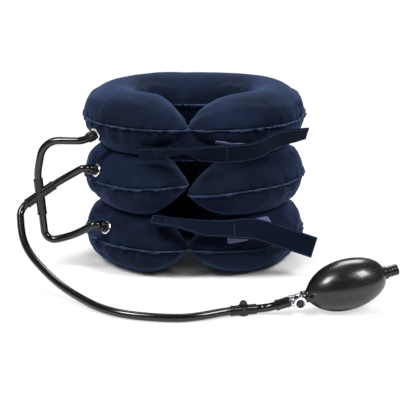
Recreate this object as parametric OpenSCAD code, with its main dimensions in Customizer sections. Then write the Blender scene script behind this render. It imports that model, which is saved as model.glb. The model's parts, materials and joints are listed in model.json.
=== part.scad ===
// Inflatable neck traction collar: three C-shaped air tiers in velour covers,
// joined by hoses to a four-way manifold, a relief valve and a squeeze bulb.
// Origin: on the floor under the back of the collar, midway across it.
// +X right, +Y from the open front to the back, +Z up.

/* [Collar] */
// Width of a tier, left to right
tier_w = 236; // [230:1:240]
// Depth of a tier, front to back
tier_d = 206; // [202:1:210]
// Width of the inflated tube in plan
tube_w = 66; // [62:1:68]
// Full height of an inflated tube before its neighbours flatten it
tube_h = 68; // [67:1:70]
// Height that each inflated tier adds to the stack
tier_pitch = 63.2; // [62:0.2:64]
// Gap between the two front tips of a tier
tip_gap = 1.4; // [1.2:0.1:3]

/* [Fabric] */
// Thickness of the velour cover with its backing foam
cover_t = 2; // [1.5:0.1:2.2]
// Thickness of the bladder film
film_t = 1.2; // [1:0.1:1.4]
// How far the sewn welt stands out of the seam
welt_reach = 2.5; // [1.5:0.1:2.6]
// Width of the hook-and-loop straps
strap_w = 22; // [20:0.5:23]
// Thickness of the straps
strap_t = 2; // [1.5:0.1:2]

/* [Hoses] */
// Outside diameter of the hoses
hose_d = 8; // [7.6:0.1:8]
// Inside diameter of the hoses
hose_bore = 5; // [4.8:0.1:5.4]
// Outside diameter of the manifold arms
manifold_d = 10; // [9.8:0.1:11.5]

/* [Hand pump] */
// Diameter of the squeeze bulb
bulb_d = 49; // [46:0.5:49]
// Length of the squeeze bulb without its neck
bulb_l = 80; // [76:1:82]
// Wall of the squeeze bulb
bulb_wall = 2.2; // [2:0.1:3]
// Diameter of the release valve knob
knob_d = 12.6; // [11:0.1:13]

/* [Hidden] */

$fn = 48;
navy = [0.09, 0.12, 0.27];
navy_dark = [0.06, 0.08, 0.18];
rubber = [0.05, 0.05, 0.06];
chrome = [0.75, 0.76, 0.78];
film = [0.55, 0.6, 0.66];
pale = [0.72, 0.72, 0.85];

// Every tier is described by its place in the stack: 0 lower, 1 middle, 2 upper
tiers = 3;
ring_a = (tier_w - tube_w) / 2;
ring_b = (tier_d - tube_w) / 2;
ring_n = 2.3;
back_y = 68;
notch_x = -6;
section_n = 2.1;
stack_gap = 0.3;
clip_h = (tier_pitch - stack_gap) / 2;
rest_h = tier_pitch / 2;
tip_half_w = 3;
tip_half_h = 3.4;
lobe_taper_w = 46;
lobe_taper_h = 58;
tip_push = 0.6;
tip_droop = [0, 5, 0];
seam_gap = 0.15;
panel_stations = 31;
panel_steps = 9;
bladder_inset = 7.5;
bladder_stations = 22;
bladder_steps = 12;
bladder_start = 9;
first_phi = asin(tip_gap / 2 / ring_b);

function tier_z(tier) = tier_pitch * (tier + 0.5);
function unit(v) = v / norm(v);
function clamp(v, low, high) = min(max(v, low), high);
function signed_pow(v, p) = sign(v) * pow(abs(v), p);

// Centreline of the tube in plan; phi is 0 at the front and 90 at the left
function ring_r(phi) =
    pow(pow(abs(sin(phi)) / ring_a, ring_n) + pow(abs(cos(phi)) / ring_b, ring_n), -1 / ring_n);
function from_tip(phi) =
    cos(phi) > 0 ? max(0, ring_r(phi) * abs(sin(phi)) - tip_gap / 2) : tier_w;
// 1 at a tip, easing to 0 where the lobe is full
function near_tip(phi) =
    let (near = max(0, 1 - from_tip(phi) / lobe_taper_h)) near * near * (3 - 2 * near);
// The two tips meet a little to the left of the middle
function ring_at(phi) =
    ring_r(phi) * [-sin(phi), -cos(phi)] + [notch_x * near_tip(phi), -back_y];
function ring_out(phi) =
    let (t = ring_at(phi + 0.5) - ring_at(phi - 0.5)) [-t[1], t[0]] / norm(t);

// How full the tube is at a distance from its tip
function fullness(d, len) = d >= len ? 1 : sqrt(max(0, 1 - pow(1 - d / len, 2)));
function half_w(phi) =
    tip_half_w + (tube_w / 2 - tip_half_w) * fullness(from_tip(phi), lobe_taper_w);
// Share of the full height, drawn down to a pillow corner at the tips
function corner(d, reach) = 1 - pow(max(0, 1 - d / reach), 1.9);
function half_h(phi) =
    tip_half_h + (tube_h / 2 - tip_half_h) * corner(from_tip(phi), lobe_taper_h);
function tip_shift(phi) = tip_push * tube_w / 2 * (1 - fullness(from_tip(phi), lobe_taper_w));
// The left tip of the middle tier rides up and its right tip hangs down
function seam_lift(tier, phi) = tip_droop[tier] * near_tip(phi) * (phi < 180 ? 1 : -1);

// Flat contact faces: the floor below, the neighbours between, none on top
function low_clip(tier) = tier == 0 ? rest_h : clip_h;
function high_clip(tier) = tier == tiers - 1 ? tube_h : clip_h;

// A point of the tube's skin: psi is 0 at the outer seam and 90 at the top
function skin(tier, phi, psi, inset) =
    let (
        w = half_w(phi) - min(inset, 0.4 * half_w(phi)),
        h = half_h(phi) - min(inset, 0.4 * half_h(phi)),
        out = tip_shift(phi) + w * signed_pow(cos(psi), 2 / section_n),
        rise = seam_lift(tier, phi) + h * signed_pow(sin(psi), 2 / section_n),
        flat = ring_at(phi) + out * ring_out(phi),
        z = clamp(rise, inset - low_clip(tier), high_clip(tier) - inset)
    )
    [flat[0], flat[1], tier_z(tier) + z];

// Stations from the left tip round the back to the right tip, closer at the tips
function station(i, count, start) =
    let (u = 2 * i / count - 1)
    180 + sign(u) * (180 - start) * (1 - pow(1 - abs(u), 1.45));

// Two triangles across four corners, clockwise as seen from outside
function quad(a, b, c, d) = [[a, c, b], [a, d, c]];
function flatten(groups) = [for (group = groups) each group];
function sum(points, i = 0) = i == len(points) - 1 ? points[i] : points[i] + sum(points, i + 1);
function middle(points) = sum(points) / len(points);

// Faces of an open skin of (n + 1) x (m + 1) points with an inner copy behind it
function panel_faces(n, m) =
    let (
        inner = (n + 1) * (m + 1),
        p = function (i, j) i * (m + 1) + j,
        q = function (i, j) inner + i * (m + 1) + j
    )
    flatten([
        for (i = [0 : n - 1]) for (j = [0 : m - 1]) each [
            quad(p(i, j), p(i, j + 1), p(i + 1, j + 1), p(i + 1, j)),
            quad(q(i, j), q(i + 1, j), q(i + 1, j + 1), q(i, j + 1))
        ],
        for (i = [0 : n - 1]) each [
            quad(p(i, 0), p(i + 1, 0), q(i + 1, 0), q(i, 0)),
            quad(p(i + 1, m), p(i, m), q(i, m), q(i + 1, m))
        ],
        for (j = [0 : m - 1]) each [
            quad(p(0, j), q(0, j), q(0, j + 1), p(0, j + 1)),
            quad(p(n, j), p(n, j + 1), q(n, j + 1), q(n, j))
        ]
    ]);

// A solid through a row of rings of points, closed by a fan at each end
module capped_tube(rings) {
    n = len(rings) - 1;
    m = len(rings[0]);
    p = function (i, j) i * m + j % m;
    first_hub = (n + 1) * m;
    points = concat(flatten(rings), [middle(rings[0]), middle(rings[n])]);
    faces = concat(
        flatten([
            for (i = [0 : n - 1]) for (j = [0 : m - 1])
                quad(p(i, j), p(i, j + 1), p(i + 1, j + 1), p(i + 1, j))
        ]),
        [for (j = [0 : m - 1]) [p(0, j), p(0, j + 1), first_hub]],
        [for (j = [0 : m - 1]) [p(n, j + 1), p(n, j), first_hub + 1]]
    );
    polyhedron(points, faces, convexity = 8);
}

// Faces of a closed loop of n rings with m points each
function loop_faces(n, m) =
    let (p = function (i, j) (i % n) * m + j % m)
    flatten([
        for (i = [0 : n - 1]) for (j = [0 : m - 1])
            quad(p(i, j), p(i, j + 1), p(i + 1, j + 1), p(i + 1, j))
    ]);

// side is 1 for the panel above the seam and -1 for the panel below it
module cover_skin(tier, side) {
    first = side > 0 ? 0 : 180;
    n = panel_stations;
    m = panel_steps;
    points = [
        for (inset = [0, cover_t]) for (i = [0 : n]) for (j = [0 : m])
            let (
                phi = station(i, n, first_phi),
                at = skin(tier, phi, first + 180 * j / m, inset),
                seam = tier_z(tier) + seam_lift(tier, phi) + side * seam_gap
            )
            [at[0], at[1], side > 0 ? max(at[2], seam) : min(at[2], seam)]
    ];
    polyhedron(points, panel_faces(n, m), convexity = 8);
}

module bladder_form(tier, inset, start) {
    n = bladder_stations;
    m = bladder_steps;
    capped_tube([
        for (i = [0 : n])
            [for (j = [0 : m - 1]) skin(tier, station(i, n, start), 360 * j / m, inset)]
    ]);
}

// Where each hose enters its tier: angle round the ring and height from the seam
port_phi = [57, 63, 63];
port_rise = [16, 12, -12.5];
eyelet_hole_r = 5;

function port_psi(tier) =
    asin(signed_pow(port_rise[tier] / half_h(port_phi[tier]), section_n / 2));
function port_at(tier) = skin(tier, port_phi[tier], port_psi(tier), 0);
function port_axis(tier) =
    let (
        phi = port_phi[tier],
        psi = port_psi(tier),
        along = skin(tier, phi + 1, psi, 0) - skin(tier, phi - 1, psi, 0),
        up = skin(tier, phi, psi + 1, 0) - skin(tier, phi, psi - 1, 0)
    )
    unit(cross(up, along));

// Stands its children in a frame at a point with three given axes
module framed(at, ax, ay, az) {
    multmatrix([
        [ax[0], ay[0], az[0], at[0]],
        [ax[1], ay[1], az[1], at[1]],
        [ax[2], ay[2], az[2], at[2]],
        [0, 0, 0, 1]
    ]) children();
}

// Stands its children at a point with their z axis along a direction
module aimed(at, direction) {
    az = unit(direction);
    side = abs(az[2]) < 0.9 ? cross([0, 0, 1], az) : cross([0, 1, 0], az);
    ax = unit(side);
    framed(at, ax, cross(az, ax), az) children();
}

module at_port(tier) {
    aimed(port_at(tier), port_axis(tier)) children();
}

// A ring turned about the z axis
module ring(outer_r, inner_r, from, to) {
    translate([0, 0, from])
        difference() {
            cylinder(r = outer_r, h = to - from);
            translate([0, 0, -1])
                cylinder(r = inner_r, h = to - from + 2);
        }
}

// ---- Covers, bladders and seams ----

module cover_top(tier) {
    color(navy)
        difference() {
            cover_skin(tier, 1);
            if (port_rise[tier] > 0) at_port(tier)
                translate([0, 0, -bladder_inset])
                    cylinder(r = eyelet_hole_r, h = 2 * bladder_inset);
        }
}

module cover_bottom(tier) {
    color(navy)
        difference() {
            cover_skin(tier, -1);
            if (port_rise[tier] < 0) at_port(tier)
                translate([0, 0, -bladder_inset])
                    cylinder(r = eyelet_hole_r, h = 2 * bladder_inset);
        }
}

module bladder(tier) {
    color(film)
        difference() {
            bladder_form(tier, bladder_inset, bladder_start);
            bladder_form(tier, bladder_inset + film_t, bladder_start + 2);
            at_port(tier)
                translate([0, 0, -12.9])
                    cylinder(r = port_shank_r + 0.1, h = 12.9);
        }
}

// The welt runs round the outer seam, round the tips and back along the inner one
module seam_welt(tier) {
    n = panel_stations;
    half = 1.1;
    lap = 0.12;
    tip_reach = 0.35;
    edge = function (i, psi)
        let (
            phi = station(i, n, first_phi),
            at = skin(tier, phi, psi, 0),
            z = tier_z(tier) + seam_lift(tier, phi)
        )
        [[at[0], at[1], z], (psi == 0 ? 1 : -1) * ring_out(phi), welt_reach];
    tip = function (i, way)
        let (
            a = edge(i, 0)[0],
            b = edge(i, 180)[0]
        )
        [(a + b) / 2, [way, 0], tip_reach];
    path = concat(
        [for (i = [0 : n]) edge(i, 0)],
        [tip(n, -1)],
        [for (i = [n : -1 : 0]) edge(i, 180)],
        [tip(0, 1)]
    );
    points = flatten([
        for (stop = path)
            let (
                base = stop[0],
                out = [stop[1][0], stop[1][1], 0]
            )
            [
                base + lap * out - [0, 0, half],
                base + stop[2] * out - [0, 0, half],
                base + stop[2] * out + [0, 0, half],
                base + lap * out + [0, 0, half]
            ]
    ]);
    color(navy_dark)
        polyhedron(points, loop_faces(len(path), 4), convexity = 8);
}

// ---- Eyelets and air ports, drawn from the cover's surface outwards ----

hose_r = hose_d / 2;
port_shank_r = 3.95;
port_bore_r = 1.6;
barb_r = 2.3;
barb_end = 9.6;
hose_start = 3.2;
collar_reach = 10.4;
slip = 0.05;

module eyelet(tier) {
    color(chrome)
        at_port(tier)
            rotate_extrude()
                polygon([
                    [4.3, -5], [4.9, -5], [4.9, 0.05], [7.1, 0.05],
                    [7.1, 0.7], [6.4, 1.4], [5.2, 1.6], [4.3, 1.1]
                ]);
}

module eyelet_washer(tier) {
    color(chrome)
        at_port(tier) ring(6.6, 4.95, -5, -4.2);
}

// Flange inside the bladder, shank through the wall and a barbed hose tail
module port(tier) {
    color(rubber)
        at_port(tier)
            rotate_extrude()
                polygon([
                    [port_bore_r, -14], [7, -14], [7, -13], [port_shank_r, -13],
                    [port_shank_r, hose_start - 0.2], [2, hose_start - 0.2], [2, 5],
                    [barb_r, 5.2], [2, 8], [barb_r, 8.2], [2, barb_end],
                    [port_bore_r, barb_end]
                ]);
}

module hose_collar(tier) {
    color(rubber)
        at_port(tier)
            difference() {
                union() {
                    ring(5.1, hose_r + slip, 1.9, collar_reach);
                    for (z = [3.4, 5.8, 8.2])
                        ring(5.5, hose_r + slip, z, z + 1.2);
                }
                translate([0, 0, 1])
                    cylinder(r = hose_r + slip, h = collar_reach);
            }
}

// ---- Hoses: straight runs joined by round bends ----

function turn(path, i) =
    acos(clamp(unit(path[i] - path[i - 1]) * unit(path[i + 1] - path[i]), -1, 1));
// Length of the straight that the bend at corner i uses up on each side; the
// hose stays straight for plug millimetres inside the fitting at each end
function bend_leg(path, plug, i) =
    let (
        before = norm(path[i] - path[i - 1]),
        after = norm(path[i + 1] - path[i])
    )
    min(
        i == 1 ? before - plug[0] : 0.48 * before,
        i == len(path) - 2 ? after - plug[1] : 0.48 * after
    );
// Stops along a bend, each a centre and a direction
function bend(path, plug, i) =
    let (
        v1 = unit(path[i] - path[i - 1]),
        v2 = unit(path[i + 1] - path[i]),
        inward = unit(v2 - (v1 * v2) * v1),
        angle = turn(path, i),
        leg = bend_leg(path, plug, i),
        radius = leg / tan(angle / 2),
        centre = path[i] - leg * v1 + radius * inward,
        steps = max(2, ceil(angle / 12))
    )
    [
        for (k = [0 : steps])
            let (a = angle * k / steps)
            [
                centre - radius * cos(a) * inward + radius * sin(a) * v1,
                cos(a) * v1 + sin(a) * inward
            ]
    ];
function hose_stops(path, plug) =
    let (last = len(path) - 1)
    concat(
        [[path[0], unit(path[1] - path[0])]],
        [for (i = [1 : last - 1]) each bend(path, plug, i)],
        [[path[last], unit(path[last] - path[last - 1])]]
    );
function hose_ring(stop, d, sides) =
    let (
        side = unit(cross([0, 1, 0], stop[1])),
        up = cross(stop[1], side)
    )
    [
        for (j = [0 : sides - 1])
            let (a = 360 * j / sides)
            stop[0] + d / 2 * (cos(a) * side + sin(a) * up)
    ];

module hose(path, plug) {
    sides = 14;
    stops = hose_stops(path, plug);
    n = len(stops) - 1;
    inner = (n + 1) * sides;
    p = function (i, j) i * sides + j % sides;
    q = function (i, j) inner + i * sides + j % sides;
    points = flatten([for (d = [hose_d, hose_bore]) for (stop = stops) hose_ring(stop, d, sides)]);
    faces = flatten([
        for (j = [0 : sides - 1]) each [
            for (i = [0 : n - 1]) each [
                quad(p(i, j), p(i, j + 1), p(i + 1, j + 1), p(i + 1, j)),
                quad(q(i, j), q(i + 1, j), q(i + 1, j + 1), q(i, j + 1))
            ],
            quad(p(0, j), q(0, j), q(0, j + 1), p(0, j + 1)),
            quad(p(n, j), p(n, j + 1), q(n, j + 1), q(n, j))
        ]
    ]);
    color(rubber) polyhedron(points, faces, convexity = 8);
}

// The four-way manifold hangs in a plane at the left of the collar
manifold_at = [-161.3, -123, 80.5];
function in_plane(angle) = [cos(angle), 0, sin(angle)];
arm_up = 94.8;
arm_right = 35.3;
up_len = 17;
down_len = 21;
right_len = 18;
left_len = 17;
socket_depth = 9.8;
function arm_end(angle, len) = manifold_at + len * in_plane(angle);
function socket_floor(angle, len) = manifold_at + (len - socket_depth) * in_plane(angle);

function port_out(tier, reach) = port_at(tier) + reach * port_axis(tier);

upper_path = [
    port_out(2, hose_start), port_out(2, 17), [-156, -124, 139],
    arm_end(arm_up, up_len + 6), socket_floor(arm_up, up_len)
];
middle_path = [
    port_out(1, hose_start), port_out(1, 16), [-127, -124, 103],
    arm_end(arm_right, right_len + 5), socket_floor(arm_right, right_len)
];
lower_path = [
    port_out(0, hose_start), port_out(0, 16), [-128, -130, 37], [-157, -124, 30],
    arm_end(arm_up + 180, down_len + 5), socket_floor(arm_up + 180, down_len)
];

// The relief valve and the pump stand on the floor in front of the collar
relief_at = [47.3, -265.2, 5.3];
relief_turn = 14;
relief_dir = [cos(relief_turn), sin(relief_turn), 0];
relief_half = 12.5;
relief_floor = 4.2;

main_path = [
    socket_floor(arm_right + 180, left_len), arm_end(arm_right + 180, left_len + 9.5),
    [-177.4, -154.4, 35.5],
    [-140.5, -197.7, 9], [-80, -274, 4.2], [-8, -287, 4.2],
    relief_at - (relief_half + 5) * relief_dir, relief_at - relief_floor * relief_dir
];

pump_at = [149.5, -249, 26.2];
pump_turn = 12;
pump_tilt = 13;
pump_dir = [cos(pump_turn) * cos(pump_tilt), sin(pump_turn) * cos(pump_tilt), sin(pump_tilt)];
ferrule_from = -75;
ferrule_to = -61;
hose_in_ferrule = 10;

pump_path = [
    relief_at + relief_floor * relief_dir,
    relief_at + (relief_half + 6) * relief_dir,
    pump_at + (ferrule_from - 5) * pump_dir,
    pump_at + (ferrule_from + hose_in_ferrule) * pump_dir
];

in_collar = collar_reach - hose_start + 0.2;
in_socket = socket_depth + 0.2;
in_relief = relief_half - relief_floor + 0.2;
in_ferrule = hose_in_ferrule + 0.2;

module lower_hose() { hose(lower_path, [in_collar, in_socket]); }
module middle_hose() { hose(middle_path, [in_collar, in_socket]); }
module upper_hose() { hose(upper_path, [in_collar, in_socket]); }
module main_hose() { hose(main_path, [in_socket, in_relief]); }
module pump_hose() { hose(pump_path, [in_relief, in_ferrule]); }

// Two crossed tubes with a deep socket in each of the four ends
module manifold() {
    arms = [
        [arm_up, up_len], [arm_up + 180, down_len],
        [arm_right, right_len], [arm_right + 180, left_len]
    ];
    passage_r = 2;
    lip_len = 1.6;
    color(rubber)
        difference() {
            union() {
                for (arm = arms) {
                    aimed(manifold_at, in_plane(arm[0])) cylinder(d = manifold_d, h = arm[1]);
                    aimed(arm_end(arm[0], arm[1] - lip_len), in_plane(arm[0]))
                        cylinder(d = manifold_d + 0.4, h = lip_len);
                }
                sphere_at(manifold_at, manifold_d / 2);
            }
            for (arm = arms) {
                aimed(manifold_at, in_plane(arm[0])) cylinder(r = passage_r, h = arm[1]);
                aimed(socket_floor(arm[0], arm[1]), in_plane(arm[0]))
                    cylinder(r = hose_r + slip, h = socket_depth + 1);
            }
        }
}

module sphere_at(at, r) {
    translate(at) sphere(r = r);
}

// ---- Relief valve: a tee body with a ball-headed push button ----

relief_r = 4.9;
cup_r = 4;
cup_floor = 0.4;
boss_top = 4.6;
seat_under = -0.6;
ball_r = 3.8;
ball_z = 5.9;
stem_r = 0.8;

module at_relief() {
    translate(relief_at) rotate([0, 0, relief_turn]) children();
}

module along_x(r, from, to) {
    translate([from, 0, 0]) rotate([0, 90, 0]) cylinder(r = r, h = to - from);
}

module relief_body() {
    color(rubber)
        at_relief()
            difference() {
                union() {
                    along_x(relief_r, -relief_half, relief_half);
                    translate([0, 0, -boss_top]) cylinder(r = 5, h = 2 * boss_top);
                }
                along_x(hose_r + slip, -relief_half - 1, -relief_floor);
                along_x(hose_r + slip, relief_floor, relief_half + 1);
                translate([0, 0, -2.4]) along_x(1.2, -relief_half, relief_half);
                translate([0, 0, -3.9]) cylinder(r = 2.4, h = 3.9 + seat_under);
                cylinder(r = stem_r + slip, h = 4, center = true);
                translate([0, 0, cup_floor]) cylinder(r = cup_r, h = boss_top + 2);
            }
}

module relief_button() {
    color(rubber)
        at_relief() {
            translate([0, 0, ball_z]) sphere(r = ball_r);
            translate([0, 0, -1.5]) cylinder(r = stem_r, h = ball_z + 1.5);
        }
}

module relief_seal() {
    color([0.2, 0.2, 0.2])
        at_relief() ring(1.9, stem_r + 0.01, -1.45, seat_under - 0.03);
}

// Loose coil between the cup's floor and the ball
module relief_spring() {
    wire_r = 0.2;
    coil_r = 1.7;
    turns = 3;
    bottom = cup_floor + wire_r + 0.02;
    rise = 1.55;
    steps = 16;
    sides = 6;
    count = turns * steps;
    rings = [
        for (i = [0 : count])
            let (a = 360 * i / steps)
            [
                for (j = [0 : sides - 1])
                    let (
                        b = -360 * j / sides,
                        r = coil_r + wire_r * cos(b)
                    )
                    [r * cos(a), r * sin(a), bottom + rise * i / count + wire_r * sin(b)]
            ]
    ];
    color(chrome)
        at_relief() capped_tube(rings);
}

// ---- Hand pump: x runs from the hose to the bulb's tail ----

module at_pump() {
    translate(pump_at) rotate([0, 0, pump_turn]) rotate([0, -pump_tilt, 0]) children();
}

valve_from = -60.8;
valve_to = -49.5;
valve_r = 5;
nozzle_r = 2.3;
cross_x = -53.8;
cross_reach = 7.5;
spindle_r = 1.6;
knob_from = 8.2;
knob_len = 5;
neck_r = 6.4;
bulb_x = -4.5;

module hose_ferrule() {
    color(rubber)
        at_pump()
            translate([ferrule_from, 0, 0]) rotate([0, 90, 0])
                difference() {
                    union() {
                        cylinder(r = 5, h = ferrule_to - ferrule_from);
                        cylinder(r = 5.3, h = 3);
                        translate([0, 0, 10.5]) cylinder(r = 5.3, h = 2.5);
                    }
                    translate([0, 0, -1]) cylinder(r = hose_r + slip, h = 20);
                }
}

// Straight chrome body with a nozzle each end and a cross boss for the screw
module valve_body() {
    color(chrome)
        at_pump()
            difference() {
                union() {
                    along_x(valve_r, valve_from, valve_to);
                    along_x(valve_r + 0.7, valve_from + 0.1, valve_from + 2);
                    along_x(nozzle_r, ferrule_from + hose_in_ferrule - 7, valve_from);
                    along_x(4.2, valve_to, valve_to + 8);
                    translate([cross_x, 0, 0]) rotate([90, 0, 0]) cylinder(r = 4.6, h = cross_reach);
                }
                along_x(1.3, ferrule_from, valve_to + 9);
                along_x(2.6, valve_to + 0.5, valve_to + 5.4);
                translate([cross_x, 0, 0])
                    rotate([90, 0, 0]) {
                        cylinder(r = 1, h = 4);
                        translate([0, 0, 2.5]) cylinder(r = 2.7, h = 2.2);
                        translate([0, 0, 4]) cylinder(r = spindle_r + slip, h = 10);
                    }
                translate([cross_x, -3.4, 0]) cylinder(r = 0.6, h = 8);
            }
}

// Needle screw that closes the vent in the valve body
module valve_spindle() {
    color(chrome)
        at_pump()
            translate([cross_x, 0, 0])
                rotate([90, 0, 0])
                    rotate_extrude()
                        polygon([
                            [0, 1.6], [0.9, 2.6], [0.9, 4.1], [spindle_r, 4.6],
                            [spindle_r, 12], [0, 12]
                        ]);
}

module valve_seal() {
    color([0.15, 0.15, 0.15])
        at_pump()
            translate([cross_x, 0, 0])
                rotate([90, 0, 0]) ring(2.6, 0.95, 3.1, 4);
}

// Round knurled knob with a dished face
module valve_knob() {
    flutes = 18;
    knob_r = knob_d / 2;
    color(chrome)
        at_pump()
            translate([cross_x, 0, 0])
                rotate([90, 0, 0])
                    difference() {
                        union() {
                            translate([0, 0, knob_from]) cylinder(r = knob_r - 0.3, h = knob_len);
                            translate([0, 0, knob_from + 0.8])
                                cylinder(r = knob_r, h = knob_len - 1.6);
                        }
                        translate([0, 0, knob_from - 1])
                            cylinder(r = spindle_r + 0.01, h = knob_len + 2);
                        translate([0, 0, knob_from + 2.6]) cylinder(r = knob_r - 2, h = knob_len);
                        for (i = [0 : flutes - 1])
                            rotate([0, 0, 360 * i / flutes])
                                translate([knob_r + 0.35, 0, knob_from - 1])
                                    cylinder(r = 0.7, h = knob_len + 2);
                    }
}

module outlet_ball() {
    color(chrome)
        at_pump() translate([valve_to + 3.45, 0, 0]) sphere(r = 1.9);
}

// Egg profile: fuller towards the tail, drawn into a short neck at the valve
function egg(t, l, r) = [
    -l / 2 * cos(180 * t) + 1.5 * sin(180 * t),
    r * pow(sin(180 * t), 1.2 - 0.4 * t)
];

module bulb() {
    steps = 28;
    outer = [
        for (i = [0 : steps])
            let (p = egg(i / steps, bulb_l, bulb_d / 2))
            [p[0], max(p[1], p[0] < 0 ? neck_r : 7)]
    ];
    inner = [
        for (i = [steps : -1 : 0])
            let (p = egg(i / steps, bulb_l - 2 * bulb_wall, bulb_d / 2 - bulb_wall))
            [p[0], max(p[1], p[0] < 0 ? 4.25 : 4.6)]
    ];
    front = -bulb_l / 2 - 4.5;
    back = bulb_l / 2 + 1;
    profile = concat(
        [[front, 4.25], [front, neck_r - 0.4], [front + 0.6, neck_r]],
        outer,
        [[back, 7], [back, 4.6]],
        inner
    );
    color(rubber)
        at_pump()
            translate([bulb_x, 0, 0]) rotate([0, 90, 0])
                rotate_extrude($fn = 64)
                    polygon([for (p = profile) [p[1], p[0]]]);
}

// Ridged tail fitting that lets air in but not out
tail_x = bulb_x + bulb_l / 2 + 1;
tail_len = 13;

module intake_body() {
    color(rubber)
        at_pump()
            translate([tail_x, 0, 0]) rotate([0, 90, 0])
                difference() {
                    union() {
                        translate([0, 0, -8]) cylinder(r = 4.55, h = 9);
                        translate([0, 0, 0.05]) cylinder(r = 6.4, h = 1.6);
                        cylinder(r = 4.9, h = tail_len);
                        for (z = [3.2, 5.8, 8.4, 11])
                            translate([0, 0, z]) cylinder(r = 5.5, h = 1.4);
                    }
                    translate([0, 0, -9]) cylinder(r = 1.2, h = 20);
                    translate([0, 0, 2]) cylinder(r = 3.6, h = 20);
                }
}

// Soft disc that seals against the seat when the bulb is squeezed
module intake_disc() {
    color([0.25, 0.25, 0.25])
        at_pump()
            translate([tail_x, 0, 0]) rotate([0, 90, 0])
                translate([0, 0, 4.35]) cylinder(r = 3.2, h = 1);
}

module intake_retainer() {
    color(chrome)
        at_pump()
            translate([tail_x, 0, 0]) rotate([0, 90, 0])
                difference() {
                    translate([0, 0, 5.4]) cylinder(r = 3.58, h = 1.4);
                    translate([0, 0, 5]) cylinder(r = 1.4, h = 3);
                }
}

// ---- Straps: ribbons through a few stations, eased between them ----

// A station is [x, y, z, lean]: lean tips the strap's top edge to the back
function eased(stations, t) =
    let (
        last = len(stations) - 1,
        i = min(floor(t), last - 1),
        f = t - i,
        a = stations[max(i - 1, 0)],
        b = stations[i],
        c = stations[i + 1],
        d = stations[min(i + 2, last)]
    )
    0.5 * (2 * b + (c - a) * f + (2 * a - 5 * b + 4 * c - d) * f * f
        + (3 * b - 3 * c + d - a) * f * f * f);
function spot(s) = [s[0], s[1], s[2]];

// from and to cut the ribbon short; wide and thick give its section; back
// moves it off the strap's middle plane towards the collar
module ribbon(stations, from, to, wide, thick, back) {
    count = round((to - from) * 5);
    capped_tube([
        for (k = [0 : count])
            let (
                t = from + (to - from) * k / count,
                s = eased(stations, t),
                step = 0.02,
                ahead = spot(eased(stations, min(t + step, to))),
                behind = spot(eased(stations, max(t - step, from))),
                along = unit(ahead - behind),
                lean = s[3],
                wish = [0, sin(lean), cos(lean)],
                up = unit(wish - (wish * along) * along),
                face = cross(up, along),
                mid = spot(s) + back * face
            )
            [
                mid - wide / 2 * up - thick / 2 * face,
                mid - wide / 2 * up + thick / 2 * face,
                mid + wide / 2 * up + thick / 2 * face,
                mid + wide / 2 * up - thick / 2 * face
            ]
    ]);
}

upper_stations = [
    [-56, -167.5, 136.2, -52], [-29, -170, 137, -56], [-7, -170.5, 139, -62],
    [12, -170, 135.5, -32], [38, -169, 135.4, -24], [62, -167, 138.6, -28],
    [86, -160.5, 148.4, -32], [114, -154, 152.6, -50]
];
lower_stations = [
    [-44, -164, 65.2, 83], [-14, -166.5, 61.6, 80], [12, -171, 58.2, 60],
    [34, -172.5, 57.8, 54], [62, -170.5, 57, 26], [90, -165.5, 47, 15],
    [123.5, -158, 33.5, 12]
];

module upper_strap() {
    color(navy_dark) ribbon(upper_stations, 0, 7, strap_w, strap_t, 0);
}

module lower_strap() {
    color(navy_dark) ribbon(lower_stations, 0, 6, strap_w, strap_t, 0);
}

// Loop tape sewn on the collar side of each strap's free end
tape_t = 0.9;
tape_w = strap_w - 5;
tape_off = strap_t / 2 + tape_t / 2 + 0.12;

// Doubled tab sewn to the cover under the root of each strap
tab_t = 1;
tab_off = strap_t / 2 + tab_t / 2 + 0.05;

module upper_strap_tab() {
    color(navy_dark) ribbon(upper_stations, 0, 0.6, strap_w, tab_t, tab_off);
}

module lower_strap_tab() {
    color(navy_dark) ribbon(lower_stations, 0, 0.6, strap_w, tab_t, tab_off);
}

module upper_strap_tape() {
    color(rubber) ribbon(upper_stations, 5.4, 6.8, tape_w, tape_t, tape_off);
}

module lower_strap_tape() {
    color(rubber) ribbon(lower_stations, 4.2, 5.8, tape_w, tape_t, tape_off);
}

// Patch that follows the skin of a tier between two angles and two heights
module skin_patch(tier, phi_from, phi_to, psi_from, psi_to) {
    n = 6;
    m = 3;
    lift = 0.35;
    points = [
        for (rise = [lift + 0.8, lift]) for (i = [0 : n]) for (j = [0 : m])
            skin(tier, phi_from + (phi_to - phi_from) * i / n,
                psi_from + (psi_to - psi_from) * j / m, -rise)
    ];
    polyhedron(points, panel_faces(n, m), convexity = 8);
}

module upper_hook_patch() {
    color(pale) skin_patch(2, 323, 342, 318, 334);
}

module lower_hook_patch() {
    color(pale) skin_patch(0, 309, 330, 36, 55);
}

module lower_label() {
    color(pale) skin_patch(0, 324, 335, 18, 34);
}

// ---- One line per node ----

cover_top(0);  // lower_cover_top
cover_bottom(0);  // lower_cover_bottom
bladder(0);  // lower_bladder
seam_welt(0);  // lower_seam_welt
eyelet(0);  // lower_eyelet
eyelet_washer(0);  // lower_eyelet_washer
port(0);  // lower_port
hose_collar(0);  // lower_hose_collar
cover_top(1);  // middle_cover_top
cover_bottom(1);  // middle_cover_bottom
bladder(1);  // middle_bladder
seam_welt(1);  // middle_seam_welt
eyelet(1);  // middle_eyelet
eyelet_washer(1);  // middle_eyelet_washer
port(1);  // middle_port
hose_collar(1);  // middle_hose_collar
cover_top(2);  // upper_cover_top
cover_bottom(2);  // upper_cover_bottom
bladder(2);  // upper_bladder
seam_welt(2);  // upper_seam_welt
eyelet(2);  // upper_eyelet
eyelet_washer(2);  // upper_eyelet_washer
port(2);  // upper_port
hose_collar(2);  // upper_hose_collar
lower_hose();
middle_hose();
upper_hose();
main_hose();
pump_hose();
manifold();
relief_body();
relief_button();
relief_spring();
relief_seal();
hose_ferrule();
valve_body();
valve_spindle();
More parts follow.
